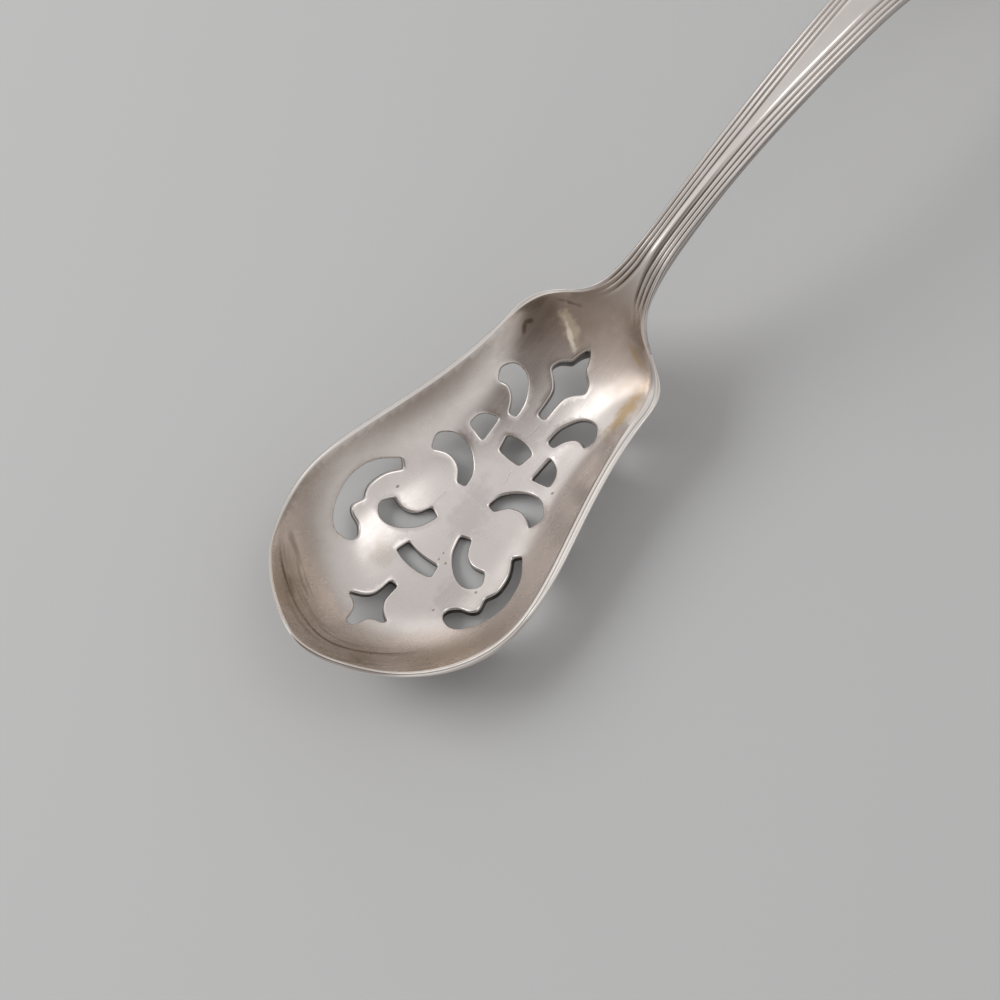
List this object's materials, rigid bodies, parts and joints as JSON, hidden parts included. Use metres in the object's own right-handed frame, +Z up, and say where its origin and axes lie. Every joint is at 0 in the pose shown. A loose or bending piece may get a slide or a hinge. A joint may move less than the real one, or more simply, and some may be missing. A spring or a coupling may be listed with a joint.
{
  "type": "olive spoon",
  "caption": "Short olive spoon: shallow pierced bowl with cut scrollwork, slim arched handle with reeded edges and a rounded end, for lifting olives out of brine.",
  "frame": {"origin": "on the table, halfway along the spoon and midway across it", "axes": "+X from the bowl's tip to the handle's end, +Z up out of the bowl, +Y to the side"},
  "size_m": [0.152, 0.0306, 0.0258],
  "materials": {
    "bowl_silver": "worn silver with fine scratches and warm tarnish",
    "handle_silver": "worn polished silver, darker in the grooves",
    "solder": "dull silver solder"
  },
  "bodies": {
    "root": {"pierced_bowl": "bowl_silver", "reeded_handle": "handle_silver", "solder_seam": "solder"}
  },
  "joints": []
}
